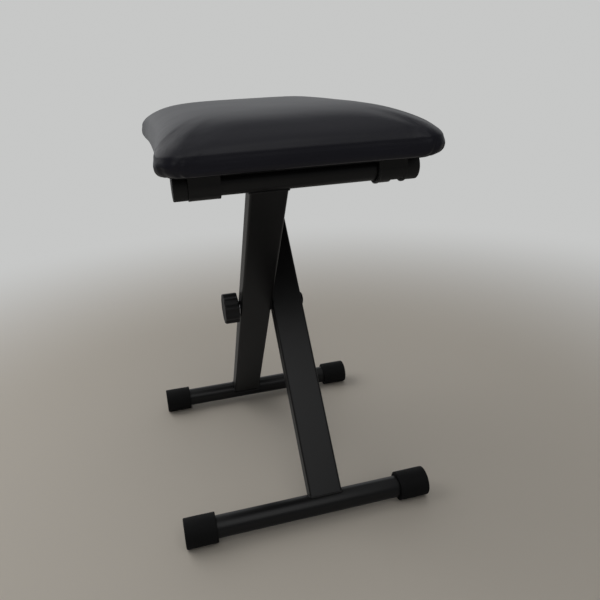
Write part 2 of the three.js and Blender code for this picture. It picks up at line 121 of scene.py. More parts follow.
def addCamera(view):
    camera = linked("camera", bpy.data.cameras.new("camera"))
    camera.data.lens = view.focalLength
    camera.data.sensor_width = view.sensor
    camera.data.clip_start = view.nearest
    turns = ((-view.yaw, "Z"), (quarterTurn - view.pitch, "X"), (-view.roll, "Z"))
    yaw, pitch, roll = (Matrix.Rotation(angle, 4, axis) for angle, axis in turns)
    camera.matrix_world = Matrix.Translation(view.place) @ yaw @ pitch @ roll
    scene.camera = camera


addCamera(cameraView)
scene.view_settings.view_transform = "Standard"
print("camera placed")

# Sizes shared by several pieces, in metres, as the CAD has them
bench = Settings(
    pivotHeight=0.223574,
    legLower=0.259,
    legUpper=0.2345,
    legLean=radians(37.1),
    legOffset=0.0208,
    barRadius=0.013,
    footSpan=0.300,
    upperSpan=0.250,
    upperShift=0.010,
    seatMiddle=0.005,
)
bench.update(
    footHeight=bench.pivotHeight - bench.legLower * cos(bench.legLean),
    footPlace=bench.legLower * sin(bench.legLean),
    upperHeight=bench.pivotHeight + bench.legUpper * cos(bench.legLean),
    upperPlace=bench.legUpper * sin(bench.legLean),
)


# A value on a socket. Sums with it add Math nodes
class Signal:
    def __init__(self, owner, socket):
        self.owner = owner
        self.socket = socket

    def calc(self, operation, *others):
        return self.owner.node("ShaderNodeMath", {"operation": operation}, (self, *others))

    def __add__(self, other):
        return self.calc("ADD", other)

    def __sub__(self, other):
        return self.calc("SUBTRACT", other)

    def __rsub__(self, other):
        return self.owner.node("ShaderNodeMath", {"operation": "SUBTRACT"}, (other, self))

    def __mul__(self, other):
        return self.calc("MULTIPLY", other)

    __radd__ = __add__
    __rmul__ = __mul__


# Adds nodes to a tree, each by its type, its settings, its sockets and the output wanted
class Nodes:
    prefix = "ShaderNode"

    def __init__(self, tree):
        self.tree = tree

    def node(self, kind, settings=None, inputs=(), output=0):
        made = self.tree.nodes.new(kind if "Node" in kind else self.prefix + kind)
        for key, value in (settings or {}).items():
            setattr(made, key, value)
        for key, value in inputs.items() if isinstance(inputs, dict) else enumerate(inputs):
            self.feed(made.inputs[key], value)
        return Signal(self, made.outputs[output]) if made.outputs else None

    def feed(self, socket, value):
        if isinstance(value, Signal):
            self.tree.links.new(value.socket, socket)
        else:
            socket.default_value = (*value, 1) if socket.type == "RGBA" else value

    def mask(self, value, low, high):
        inputs = {"Value": value, "From Min": low, "From Max": high}
        return self.node("MapRange", {"interpolation_type": "SMOOTHSTEP"}, inputs)

    def part(self, vector, axis):
        return self.node("SeparateXYZ", {}, [vector], axis)

    def blend(self, mask, first, second):
        return self.node("Mix", {"data_type": "RGBA"}, {0: mask, 6: first, 7: second}, 2)


class Finish(Nodes):
    def __init__(self, name, color, roughness, metallic=0.0, ior=1.5):
        self.material = bpy.data.materials.new(name)
        self.material.use_nodes = True
        super().__init__(self.material.node_tree)
        self.shader = self.tree.nodes["Principled BSDF"]
        self.dress({"Base Color": color, "Roughness": roughness, "Metallic": metallic, "IOR": ior})
        self.place = self.node("TexCoord", output="Object")

    def dress(self, values):
        for socket, value in values.items():
            self.feed(self.shader.inputs[socket], value)

    # The material with what varies over its surface
    def varied(self, color, roughness, normal):
        self.dress({"Base Color": color, "Roughness": roughness, "Normal": normal})
        return self.material

    def noise(self, scale, detail=2.0, roughness=0.5, place=None):
        inputs = {"Vector": place or self.place, "Scale": scale}
        inputs.update({"Detail": detail, "Roughness": roughness})
        return self.node("TexNoise", {}, inputs, "Fac")

    def cells(self, scale, feature="F1"):
        inputs = {"Vector": self.place, "Scale": scale}
        return self.node("TexVoronoi", {"feature": feature}, inputs, "Distance")

    def stretch(self, scale):
        return self.node("Mapping", {}, {"Vector": self.place, "Scale": scale})

    def height(self):
        return self.part(self.place, "Z")

    def bump(self, height, distance, strength, under=None):
        inputs = {"Strength": strength, "Distance": distance, "Height": height}
        return self.node("Bump", {}, {**inputs, "Normal": under} if under else inputs)


def powderCoat():
    coat = Finish("satinPowderCoat", (0.009, 0.009, 0.0095), 0.32, ior=1.45)
    cloudy = coat.noise(18, 3)
    rubbed = coat.mask(coat.noise(60, 6, 0.7, coat.stretch((1, 0.25, 0.25))), 0.66, 0.8)
    paint = coat.blend(cloudy, (0.0075, 0.0075, 0.0080), (0.0100, 0.0098, 0.0097))
    color = coat.blend(rubbed * 0.35, paint, (0.032, 0.031, 0.030))
    peel = coat.bump(coat.noise(950, 1), 0.00012, 0.5)
    fine = coat.bump(coat.noise(2600, 2), 0.00005, 0.35, peel)
    return coat.varied(color, 0.29 + cloudy * 0.05 + rubbed * 0.08, fine)


def footRubber():
    rubber = Finish("matteRubber", (0.0045, 0.0045, 0.0045), 0.78, ior=1.36)
    scuff = rubber.mask(rubber.noise(140, 5, 0.65), 0.52, 0.75)
    low = 1 - rubber.mask(rubber.height(), 0.001, 0.009)
    worn = scuff * (0.12 + low * 0.5)
    color = rubber.blend(worn, (0.0040, 0.0040, 0.0042), (0.030, 0.028, 0.026))
    grain = rubber.bump(rubber.noise(1900, 3, 0.6), 0.00015, 0.5)
    return rubber.varied(color, 0.72 + scuff * 0.14, grain)


def mouldedPlastic():
    plastic = Finish("mouldedPlastic", (0.0095, 0.0095, 0.010), 0.5, ior=1.47)
    grain = plastic.cells(1500) * 0.6 + plastic.noise(2400, 2) * 0.4
    patch = plastic.noise(45, 3)
    color = plastic.blend(patch, (0.0085, 0.0085, 0.009), (0.0115, 0.0113, 0.0115))
    return plastic.varied(color, 0.46 + patch * 0.09, plastic.bump(grain, 0.0001, 0.45))


def vinylCover():
    vinyl = Finish("blackVinyl", (0.0102, 0.0100, 0.0180), 0.36, ior=1.46)
    pores = vinyl.cells(1150, "SMOOTH_F1") * 0.7 + vinyl.noise(1700, 3, 0.6) * 0.5
    swell = vinyl.bump(vinyl.noise(34, 2, 0.45), 0.0006, 0.14)
    patch = vinyl.noise(11, 3)
    color = vinyl.blend(patch, (0.0088, 0.0086, 0.0165), (0.0115, 0.0112, 0.0195))
    leather = vinyl.bump(pores, 0.00011, 0.32, swell)
    return vinyl.varied(color, 0.335 + patch * 0.05 + pores * 0.03, leather)


def underCloth():
    cloth = Finish("nonWovenCloth", (0.012, 0.012, 0.013), 0.93)
    fibres = cloth.noise(1300, 5, 0.75, cloth.stretch((1, 0.4, 1)))
    dots = cloth.mask(cloth.cells(520), 0.12, 0.45)
    color = cloth.blend(fibres, (0.007, 0.007, 0.0075), (0.022, 0.022, 0.023))
    weave = cloth.bump(dots * 0.6 + fibres * 0.5, 0.00025, 0.6)
    return cloth.varied(color, 0.88 + fibres * 0.1, weave)


def zincPlate():
    zinc = Finish("zincPlate", (0.52, 0.53, 0.55), 0.34, 1.0)
    dull = zinc.noise(70, 3)
    color = zinc.blend(dull, (0.46, 0.46, 0.47), (0.58, 0.59, 0.61))
    return zinc.varied(color, 0.26 + dull * 0.16, zinc.bump(zinc.noise(420, 4, 0.6), 0.00004, 0.4))


def blackOxide():
    oxide = Finish("blackOxideSteel", (0.02, 0.02, 0.022), 0.42, 0.85)
    grain = oxide.noise(900, 3)
    worn = oxide.mask(oxide.noise(260, 4, 0.6), 0.6, 0.8)
    color = oxide.blend(worn * 0.5, (0.018, 0.018, 0.020), (0.11, 0.11, 0.11))
    return oxide.varied(color, 0.36 + grain * 0.14, oxide.bump(grain, 0.00003, 0.4))


# Nylon coloured near-black: painted shade for the dark groove at the bar sleeves' ends beside the
# straps
def blackNylon():
    nylon = Finish("blackNylon", (0.010, 0.010, 0.010), 0.48)
    cloud = nylon.noise(120, 2)
    color = nylon.blend(cloud, (0.009, 0.009, 0.009), (0.014, 0.014, 0.014))
    return nylon.varied(color, 0.44 + cloud * 0.1, nylon.bump(nylon.noise(1500, 2), 0.00005, 0.3))


def plywoodPanel():
    wood = Finish("plywoodPanel", (0.45, 0.29, 0.15), 0.72)
    grain = wood.noise(90, 6, 0.6, wood.stretch((1, 0.08, 1)))
    pores = wood.noise(900, 3, 0.7, wood.stretch((1, 0.1, 1)))
    plies = (wood.height() * 1000).calc("PINGPONG", 1.35)
    tone = wood.blend(grain, (0.36, 0.22, 0.11), (0.56, 0.39, 0.22))
    color = wood.blend(wood.mask(plies, 0.9, 1.2) * 0.35, tone, (0.22, 0.13, 0.07))
    return wood.varied(color, 0.66 + pores * 0.14, wood.bump(pores, 0.0002, 0.4))


finishes = {
    "painted_steel": powderCoat(),
    "rubber": footRubber(),
    "black_plastic": mouldedPlastic(),
    "vinyl": vinylCover(),
    "dust_cloth": underCloth(),
    "zinc_steel": zincPlate(),
    "screw_steel": blackOxide(),
    "nylon": blackNylon(),
    "plywood": plywoodPanel(),
}
finishes["foam"] = finishes["vinyl"]
slots = {entry["node"]: entry["material_slot"] for entry in frame["record"]["subparts"]}
for name, slot in slots.items():
    node = frame["nodes"][name]
    node.data.materials.clear()
    node.data.materials.append(finishes[slot])
print("finishes made:", len(finishes))


# Shades an object, lets it stand for its nodes and hands it to its body
def finishPiece(piece, slot, body, stands=(), sharpAngle=32):
    scene.collection.objects.link(piece)
    mesh = piece.data
    mesh.materials.clear()
    mesh.materials.append(finishes[slot])
    mesh.polygons.foreach_set("use_smooth", [True] * len(mesh.polygons))
    mesh.set_sharp_from_angle(angle=radians(sharpAngle))
    mesh.update()
    if stands:
        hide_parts(*stands)
    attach(piece, body)
    return piece


# Makes a node's own piece from points and faces, with the node's slot and body
def addPiece(node, points, faces, sharpAngle=32, turn=None):
    first, *rest = node.split("_")
    name = first + "".join(word.capitalize() for word in rest)
    mesh = plainMesh(name, points, faces)
    if turn:
        mesh.transform(turn)
    mesh.validate()
    body = body_of(frame["nodes"][node])[0]
    return finishPiece(bpy.data.objects.new(name, mesh), slots[node], body, [node], sharpAngle)


# Joins rings of points, closed by a point at each end or else by their last ring on their first
def joinedRings(rings, ends=None):
    rows, columns = len(rings), len(rings[0])
    points = [tuple(point) for ring in rings for point in ring]
    after = [(j + 1) % columns for j in range(columns)]
    faces = []
    for i in range(rows - 1 if ends else rows):
        here, there = i * columns, (i + 1) % rows * columns
        faces += [(here + j, here + k, there + k, there + j) for j, k in enumerate(after)]
    if ends:
        last = (rows - 1) * columns
        faces += [(k, j, len(points)) for j, k in enumerate(after)]
        faces += [(last + j, last + k, len(points) + 1) for j, k in enumerate(after)]
        points += [tuple(end) for end in ends]
    return points, faces


# Joins rings of points, closed by the middles of the first and the last
def closedRings(rings):
    return joinedRings(rings, (rings[0].mean(axis=0), rings[-1].mean(axis=0)))


# Rounds the corners of a profile; each point is (along, out, radius of its corner)
def roundedProfile(points, steps=4):
    most = 0.49  # of a side, for one corner
    rounded = []
    for i, (along, out, radius) in enumerate(points):
        if radius == 0:
            rounded.append((along, out))
            continue
        here = Vector((along, out))
        before = Vector(points[i - 1][:2]) - here
        after = Vector(points[(i + 1) % len(points)][:2]) - here
        reach = radius / tan(before.angle(after) / 2)
        reach = min(reach, before.length * most, after.length * most)
        start = here + before.normalized() * reach
        end = here + after.normalized() * reach
        for step in range(steps + 1):
            share = step / steps
            mixed = start * (1 - share) ** 2 + here * 2 * share * (1 - share) + end * share ** 2
            rounded.append((mixed.x, mixed.y))
    return rounded


# Turns a profile of (along X, radius) about the X axis; it is a loop, or else begins and ends there
def turnedShape(profile, sides, loop=False):
    angles = [2 * pi * i / sides for i in range(sides)]
    rings = [[(x, out * cos(a), out * sin(a)) for a in angles] for x, out in profile]
    if loop:
        return joinedRings(rings)
    return joinedRings(rings[1:-1], [(profile[0][0], 0, 0), (profile[-1][0], 0, 0)])


def addTube(name, outer, inner, length, middle, edge=0.0002, sides=64):
    half = length / 2
    profile = [(-half, outer, edge), (half, outer, edge), (half, inner, edge), (-half, inner, edge)]
    points, faces = turnedShape(roundedProfile(profile), sides, True)
    addPiece(name, points, faces, turn=Matrix.Translation(middle))


barShape = Settings(wall=0.0015, edge=0.0003, capEnd=0.0043, sides=72)
capShape = Settings(
    clearance=0.00005,
    taper=0.0001,
    rimStart=1.35,  # edge radii in from the side
    rimWidth=0.0012,
    sides=80,
    steps=5,
)
footCap = Settings(radius=0.0175, length=0.037, end=0.004, edge=0.0026, mouth=0.0009, dish=0.0007)
upperCap = Settings(radius=0.015, length=0.014, end=0.003, edge=0.0018, mouth=0.0005, dish=0.0003)


# Cap with its mouth at -X and its outer face at x = 0
def capProfile(cap):
    radius, bore = cap.radius, bench.barRadius + capShape.clearance
    rim = radius - cap.edge * capShape.rimStart
    return [
        (-cap.end, 0, 0),
        (-cap.end, bore, 0),
        (-cap.length, bore, 0.0002),
        (-cap.length, radius - capShape.taper, cap.mouth),
        (-cap.length * 0.5, radius, 0),
        (0, radius, cap.edge),
        (0, rim, 0.0003),
        (-cap.dish, rim - capShape.rimWidth, 0.0004),
        (-cap.dish, 0, 0),
    ]


def addCap(name, cap, middle, side):
    points, faces = turnedShape(roundedProfile(capProfile(cap), capShape.steps), capShape.sides)
    if side < 0:
        faces = [face[::-1] for face in faces]
    points = [Vector((side * x, y, z)) + Vector(middle) for x, y, z in points]
    for point in points:
        point.z = max(point.z, 0)  # the flat sole
    addPiece(name, points, faces)


# The four bars: name, middle, width over the caps, cap
bars = []
for level, shift, cap, ends in (
    ("foot", 0, footCap, {"far": 1, "near": -1}),
    ("upper", bench.upperShift, upperCap, {"near": -1, "far": 1}),
):
    for end, sign in ends.items():
        middle = (shift, sign * bench[level + "Place"], bench[level + "Height"])
        bars.append((f"{end}_{level}", middle, bench[level + "Span"], cap))

for name, middle, span, cap in bars:
    size = (bench.barRadius, bench.barRadius - barShape.wall, span - 2 * barShape.capEnd)
    addTube(f"{name}_bar", *size, middle, barShape.edge, barShape.sides)
print("bars made")

for name, middle, span, cap in bars:
    for side, sign in (("left", -1), ("right", 1)):
        addCap(f"{name}_cap_{side}", cap, (middle[0] + sign * span / 2, *middle[1:]), sign)
print("caps made")

legShape = Settings(
    width=0.040,
    depth=0.020,
    corner=0.0024,
    cornerSteps=5,
    strip=0.0004,  # beside each corner, keeps the flats flat
    cope=0.00004,  # clearance to the bar
    stations=(0, 0.004, 0.02, 0.5, 0.98, 0.996, 1),
    sides={"a": -1, "b": 1},  # of the middle; each leg leans the other way
)
weldShape = Settings(radius=0.00115, ripple=0.1, pitch=0.0026, spacing=0.00045, standOff=0.0005)


# Points on an arc, each with its direction from the centre
def arcRays(centre, radius, start, turn, steps):
    angles = [start + turn * step / steps for step in range(steps + 1)]
    rays = [Vector((cos(angle), sin(angle))) for angle in angles]
    return [(centre + ray * radius, ray) for ray in rays]


# Rounded rectangle round the leg's axis
def legOutline(grow=0.0, strip=0.0):
    halfX, halfY = legShape.width / 2 + grow, legShape.depth / 2 + grow
    radius = legShape.corner + grow
    outline = []
    for quarter, (sx, sy) in enumerate(quarters):
        centre = Vector((sx * (halfX - radius), sy * (halfY - radius)))
        arc = arcRays(centre, radius, quarterTurn * quarter, quarterTurn, legShape.cornerSteps)
        points = [point for point, _ in arc]
        if strip:
            first, last = arc[0][1], arc[-1][1]
            into = points[0] + Vector((first.y, -first.x)) * strip
            out = points[-1] + Vector((-last.y, last.x)) * strip
            points = [into, *points, out]
        outline += points
    return outline


def copeHeight(depth, grow=0.0):
    radius = bench.barRadius + legShape.cope + grow
    return sqrt(max(radius ** 2 - depth ** 2, 0))


def legTurn(side):
    upright = Matrix.Translation((side * bench.legOffset, 0, bench.pivotHeight))
    return upright @ Matrix.Rotation(-side * bench.legLean, 4, "X")


def addLeg(letter, side):
    def place(x, y, share):
        low, high = copeHeight(y) - bench.legLower, bench.legUpper - copeHeight(y)
        return x, y, low + (high - low) * share

    outline = legOutline(strip=legShape.strip)
    rings = [[place(x, y, share) for x, y in outline] for share in legShape.stations]
    points, faces = joinedRings(rings, [place(0, 0, 0), place(0, 0, 1)])
    addPiece(f"leg_{letter}", points, faces, turn=legTurn(side))


for letter, side in legShape.sides.items():
    addLeg(letter, side)
print("legs made")


# A Geometry Nodes tree with named inputs, the last of which is its finish
class Growth(Nodes):
    prefix = "GeometryNode"

    def __init__(self, name, **sockets):
        super().__init__(bpy.data.node_groups.new(name, "GeometryNodeTree"))
        kinds = {"Geometry": "Geometry", **sockets, "finish": "Material"}
        sockets = self.tree.interface
        for label, kind in kinds.items():
            sockets.new_socket(label, in_out="INPUT", socket_type="NodeSocket" + kind)
        sockets.new_socket("Geometry", in_out="OUTPUT", socket_type="NodeSocketGeometry")
        entry = self.tree.nodes.new("NodeGroupInput")
        self.given = Settings({label: Signal(self, entry.outputs[label]) for label in kinds})

    def evenly(self):
        inputs = {"Curve": self.given.Geometry, "Length": self.given.spacing}
        return self.node("ResampleCurve", {"mode": "LENGTH"}, inputs)

    def setOn(self, points, piece, turn):
        inputs = {"Points": points, "Instance": piece, "Rotation": turn}
        return self.node("InstanceOnPoints", {}, inputs)

    def objectShape(self, item):
        settings = {"transform_space": "ORIGINAL"}
        return self.node("ObjectInfo", settings, {"Object": item}, "Geometry")

    def ended(self, geometry):
        solid = self.node("RealizeInstances", {}, {"Geometry": geometry})
        shaded = self.node("SetMaterial", {}, {"Geometry": solid, "Material": self.given.finish})
        self.node("NodeGroupOutput", {}, [shaded])
        return self.tree


# Runs a node tree on an object and keeps the result as a plain mesh
def grownPiece(name, source, tree, **values):
    modifier = source.modifiers.new("grow", "NODES")
    modifier.node_group = tree
    for item in tree.interface.items_tree:
        if item.in_out == "INPUT" and item.name in values:
            modifier[item.identifier] = values[item.name]
    mesh = evaluatedMesh(source)
    source.modifiers.remove(modifier)
    bpy.data.objects.remove(source)
    return bpy.data.objects.new(name, mesh)


def curveThrough(points, cyclic):
    data = bpy.data.curves.new("path", "CURVE")
    data.dimensions = "3D"
    spline = data.splines.new("POLY")
    spline.points.add(len(points) - 1)
    for point, place in zip(spline.points, points):
        point.co = (*place, 1)
    spline.use_cyclic_u = cyclic
    return linked("path", data)


# Weld bead along a closed path: a tube whose radius ripples
def weldTree():
    bead = Growth("weldBead", radius="Float", ripple="Float", pitch="Float", spacing="Float")
    length = bead.node("SplineParameter", output="Length")
    phase = length.calc("DIVIDE", bead.given.pitch) * (2 * pi)
    radius = bead.given.radius * (phase.calc("SINE") * bead.given.ripple + 1.0)
    ring = bead.node("CurvePrimitiveCircle", {}, {"Resolution": 12, "Radius": 1.0}, "Curve")
    inputs = {"Curve": bead.evenly(), "Profile Curve": ring, "Scale": radius}
    return bead.ended(bead.node("CurveToMesh", {}, inputs))


def weldPath(side, upper):
    path = []
    for x, y in legOutline(weldShape.standOff):
        rise = copeHeight(min(abs(y), bench.barRadius), weldShape.standOff)
        level = bench.legUpper - rise if upper else rise - bench.legLower
        path.append(legTurn(side) @ Vector((x, y, level)))
    return path


weldBead = weldTree()
for letter, side in legShape.sides.items():
    for end in ("Foot", "Upper"):
        path = curveThrough(weldPath(side, end == "Upper"), True)
        name = f"weld{end}{letter.upper()}"
        bead = grownPiece(name, path, weldBead, **weldShape, finish=finishes["painted_steel"])
        finishPiece(bead, "painted_steel", f"frame_{letter}", sharpAngle=60)
print("welds made")

knobShape = Settings(
    radius=0.020,
    grip=0.0182,
    collar=0.0115,
    collarLength=0.0008,
    edge=0.0016,
    flutes=10,
    fluteSides=16,
    fluteDepth=0.0015,
    fluteStart=0.8,  # of the radius
    dish=0.0006,
    dishRadius=0.72,  # of the radius
    rimRadius=0.78,
    nutRadius=0.0075,
    nutDepth=0.0068,
    bore=0.0045,
    boreEnd=0.0035,
    face=-0.0428,  # the side of the collar at the washer
)


def addKnob(shape):
    face, root = shape.face, shape.face - shape.collarLength
    end = root - shape.grip
    radius = shape.radius
    profile = [
        (end + shape.dish, 0, 0),
        (end + shape.dish, radius * shape.dishRadius, 0.0004),
        (end, radius * shape.rimRadius, 0.0004),
        (end, radius, shape.edge),
        (root, radius, shape.edge * 0.8),
        (root, shape.collar, 0.0005),
        (face, shape.collar - 0.0001, 0.0004),
        (face, shape.nutRadius, 0),
        (face - shape.nutDepth, shape.nutRadius, 0),
        (face - shape.nutDepth, shape.bore, 0),
        (end + shape.boreEnd, shape.bore, 0),
        (end + shape.boreEnd, 0, 0),
    ]
    points, faces = turnedShape(roundedProfile(profile, 6), shape.flutes * shape.fluteSides)
    fluted = []
    for x, y, z in points:
        distance = hypot(y, z)
        angle = atan2(z, y)
        start = radius * shape.fluteStart
        share = ramp(distance, start, radius - start) if x < root + 1e-5 else 0
        cut = shape.fluteDepth * share * cos(angle * shape.flutes / 2) ** 2
        scale = (distance - cut) / distance if distance > 1e-6 else 1
        fluted.append((x, y * scale, z * scale + bench.pivotHeight))
    addPiece("clamp_knob", fluted, faces, 40)


addKnob(knobShape)

boltShape = Settings(
    radius=0.004,
    tip=-0.0583,
    tipBevel=0.0009,
    headFace=0.0411,
    headRadius=0.0085,
    headHeight=0.0032,
    rim=0.0009,
    domeSteps=8,
    sides=48,
)


def addBolt(shape):
    face, out, tip, bevel = shape.headFace, shape.headRadius, shape.tip, shape.tipBevel
    profile = [
        (tip, 0, 0),
        (tip, shape.radius - bevel, 0.0003),
        (tip + bevel, shape.radius, 0.0003),
        (face, shape.radius, 0),
        (face, out, 0.0003),
        (face + shape.rim, out, 0.0004),
    ]
    for step in range(1, shape.domeSteps + 1):
        turn = step / shape.domeSteps * quarterTurn
        rise = shape.rim + (shape.headHeight - shape.rim) * sin(turn)
        profile.append((face + rise, out * cos(turn), 0))
    points, faces = turnedShape(roundedProfile(profile), shape.sides)
    addPiece("pivot_bolt", points, faces, turn=Matrix.Translation((0, 0, bench.pivotHeight)))


addBolt(boltShape)

# Washers on the pivot: radius, radius of the hole, thickness, place along X
washers = {
    "clamp_washer": (0.009, 0.0043, 0.0012, -0.0417),
    "friction_washer": (0.0095, 0.0043, 0.001, 0),
}
for name, (*size, along) in washers.items():
    addTube(name, *size, (along, 0, bench.pivotHeight))
print("pivot pieces made")

strapShape = Settings(
    width=0.031,
    inner=0.0144,
    thickness=0.0014,
    rim=0.0024,
    rimEase=0.0005,
    rimRise=0.0006,
    plainRise=0.0001,
    flange=0.014,
    top=0.4257,
    bend=0.0016,
    arcSteps=36,
    bevel=0.00025,
    places=(-0.0852, 0.1052),  # middles of the two straps
    notch=(0.48, 0.93),  # shares of the width, cut out of the saddle's underside
    notchAngle=radians(38),
)
sleeveShape = (0.0141, 0.0133, strapShape.width)


# Middle line of the strap's section, in the YZ plane round the bar, as (point, outward normal)
def strapSection(shape):
    radius, bend = shape.inner + shape.thickness / 2, shape.bend
    top = shape.top - shape.thickness / 2 - bench.upperHeight
    tip = shape.inner + shape.thickness + shape.flange
    corner = Vector((radius + bend, top - bend))
    flat = [corner.x + (tip - corner.x) * share for share in (1, 0.75, 0.5, 0.25)]
    half = [(Vector((out, top)), Vector((0, -1))) for out in flat]
    half += [(point, -ray) for point, ray in arcRays(corner, bend, quarterTurn, quarterTurn, 4)]
    half.append((Vector((radius, 0)), Vector((1, 0))))
    saddle = arcRays(Vector((0, 0)), radius, 0, -pi, shape.arcSteps)[1:-1]
    return half + saddle + [(Vector((-p.x, p.y)), Vector((-n.x, n.y))) for p, n in half[::-1]]


# Sheet-metal patch over a section and stations across it; cells that keep() drops are left open
def patchShape(section, stations, thickness, keep):
    rows, columns = len(section), len(stations)
    points, faces = [], []
    for side in (1, -1):
        for point, normal in section:
            for along, rise in stations:
                off = thickness / 2 + (rise if side > 0 else 0)
                points.append((along, *(point + normal * off * side)))
    inner = rows * columns
    solid = [(i, j) for i in range(rows - 1) for j in range(columns - 1) if keep(i, j)]
    filled = set(solid)
    for i, j in solid:
        a = i * columns + j
        b, c, d = a + 1, a + columns + 1, a + columns
        faces += [[a, b, c, d], [inner + d, inner + c, inner + b, inner + a]]
        walls = {(i - 1, j): (b, a), (i + 1, j): (d, c), (i, j - 1): (a, d), (i, j + 1): (c, b)}
        bare = [ends for cell, ends in walls.items() if cell not in filled]
        faces += [[p, q, inner + q, inner + p] for p, q in bare]
    used = sorted({v for face in faces for v in face})
    index = {v: i for i, v in enumerate(used)}
    return [points[v] for v in used], [[index[v] for v in face] for face in faces]


def addSheetMetal(name, points, faces, bevel, turn=None):
    edge = addPiece(name, points, faces, 35, turn).modifiers.new("edge", "BEVEL")
    edge.width = bevel
    edge.segments = 2
    edge.limit_method = "ANGLE"
    edge.angle_limit = radians(50)


def addStrap(side, middle, notched, shape):
    section = strapSection(shape)
    half, inside, ease = shape.width / 2, shape.width / 2 - shape.rim, shape.rimEase
    start, end = (-half + shape.width * share for share in shape.notch)
    rise = shape.rimRise if notched else shape.plainRise
    marks = [-half, -inside, -inside + ease, start, (start + end) / 2, inside - ease, inside, half]
    stations = list(zip(marks, (rise, rise, 0, 0, 0, 0, rise, rise)))

    def keep(i, j):
        point, normal = section[i]
        low = normal.y < -cos(shape.notchAngle) and point.y < -0.5 * shape.inner
        return not (notched and low and start < (marks[j] + marks[j + 1]) / 2 < inside)

    points, faces = patchShape(section, stations, shape.thickness, keep)
    move = Matrix.Translation((middle, -bench.upperPlace, bench.upperHeight))
    addSheetMetal(f"hinge_strap_{side}", points, faces, shape.bevel, move)


for side, middle, notched in zip(("left", "right"), strapShape.places, (False, True)):
    addStrap(side, middle, notched, strapShape)
# The sleeves take the near-black nylon finish, painted shade in the groove at each strap end
for side, middle in zip(("left", "right"), strapShape.places):
    place = (middle, -bench.upperPlace, bench.upperHeight)
    addTube(f"bar_sleeve_{side}", *sleeveShape, place)
print("straps made")

railShape = Settings(
    width=0.020,
    offset=0.068,
    start=-0.10615,
    end=0.18649,
    thickness=0.0018,
    top=0.4257,
    lipDrop=0.0138,
    bend=0.0022,
    bevel=0.0003,
)


def addRail(side, along, shape):
    half, bend = shape.thickness / 2, shape.bend
    level, outside = shape.top - half, shape.end + half
    centre = Vector((outside - bend, level - bend))
    flat = [shape.start + (outside - bend - shape.start) * i / 12 for i in range(13)]
    section = [(Vector((y, level)), Vector((0, -1))) for y in flat]
    arc = arcRays(centre, bend, quarterTurn, -quarterTurn, 6)
    section += [(point, -ray) for point, ray in arc[1:]]
    drop = shape.top - shape.lipDrop - centre.y
    section += [(Vector((outside, centre.y + drop * share)), Vector((-1, 0))) for share in (0.5, 1)]
    stations = [(along + shape.width * share, 0) for share in (-0.5, 0, 0.5)]
    points, faces = patchShape(section, stations, shape.thickness, lambda i, j: True)
    addSheetMetal(f"rest_rail_{side}", points, [face[::-1] for face in faces], shape.bevel)


addRail("left", bench.seatMiddle - railShape.offset, railShape)
addRail("right", bench.seatMiddle + railShape.offset, railShape)
print("rails made")

# Seat pad: a crowned closed form, drawn in along its sides, with a recess for the board
pad = Settings(
    middle=bench.seatMiddle,
    halfWidth=0.136,
    halfLength=0.2130023,
    corner=0.022,
    draw=(0.0042, 0.006),  # of the ends and the sides
    drawPower=2.6,
    floor=0.426907,
    hem=0.0065,
    widest=0.0106,
    cornerHem=(0.0115, 0.0098),  # inwards and upwards
    ridge=0.0186,
    ridgeInset=0.0015,
    ridgeRise=0.002,
    crown=0.0307,
    crownSpacing=2.4,
    crownEdge=6,
    squareness=(3.9, 4.4),
    fullness=(0.39, 0.55),
    turnIn=0.024,
    thickness=0.0012,
    boardInset=0.0137,
    boardCorner=0.020,
    boardTop=0.440707,
    cornerHold=8,  # keeps each corner's own rounding near the rim
    cornerBlend=0.009,  # evens the crown out round each corner
    ridgeBlend=0.0020,  # rounds the ridge off
    ridgeReach=0.009,
    bead=0.00035,
    beadWidth=0.0022,
    steps=Settings(flats=(88, 136), corner=40, hem=7, wall=6, lip=12, crown=56),
    coarseSteps=Settings(flats=(26, 40), corner=6, hem=3, wall=1, lip=2, crown=12),
)


# Rim from above. Each mark: nearest corner, way along the rim from its arc's start, middleness
def padRim(shape, steps, corner, drawn=True):
    flats = (shape.halfWidth - corner, shape.halfLength - corner)
    arc = quarterTurn * corner
    places, marks = [], []
    for quarter, signs in enumerate(quarters):
        for step in range(steps.corner + 1):
            share = step / steps.corner
            angle = quarterTurn * (quarter + share)
            way = np.array((cos(angle), sin(angle)))
            places.append(np.array(signs) * flats + way * corner)
            marks.append((quarter, share * arc, 0.0))
        axis = quarter % 2
        count, flat = steps.flats[axis], flats[axis]
        for step in range(1, count):
            share = step / count
            t = 0.5 * (1 - 2 * share) + 0.5 * cos(pi * share)
            inward = shape.draw[axis] * (1 - abs(t) ** shape.drawPower) if drawn else 0
            place = np.zeros(2)
            place[axis] = signs[axis] * flat * t
            places.append(place + way * (flats[1 - axis] + corner - inward))
            fromStart, toEnd = flat * (1 - t), flat * (1 + t)
            if fromStart < toEnd:
                marks.append((quarter, arc + fromStart, 1 - t * t))
            else:
                marks.append(((quarter + 1) % 4, -toEnd, 1 - t * t))
    return np.array(places), np.array(marks)


# Averages that even out what jumps along the rim, only near the corners
def cornerAverages(rim, marks, shape):
    steps = np.linalg.norm(np.roll(rim, -1, axis=0) - rim, axis=1)
    places = np.concatenate(([0], np.cumsum(steps)[:-1]))
    apart = np.abs(places[:, None] - places[None, :])
    apart = np.minimum(apart, steps.sum() - apart)
    weights = np.exp(-0.5 * (apart / shape.cornerBlend) ** 2) * (steps + np.roll(steps, 1))
    weights /= weights.sum(axis=1)[:, None]
    arc = quarterTurn * shape.corner
    near = np.exp(-((marks[:, 1] - arc / 2) / arc) ** 2)[:, None]
    return weights * near + np.eye(len(rim)) * (1 - near)


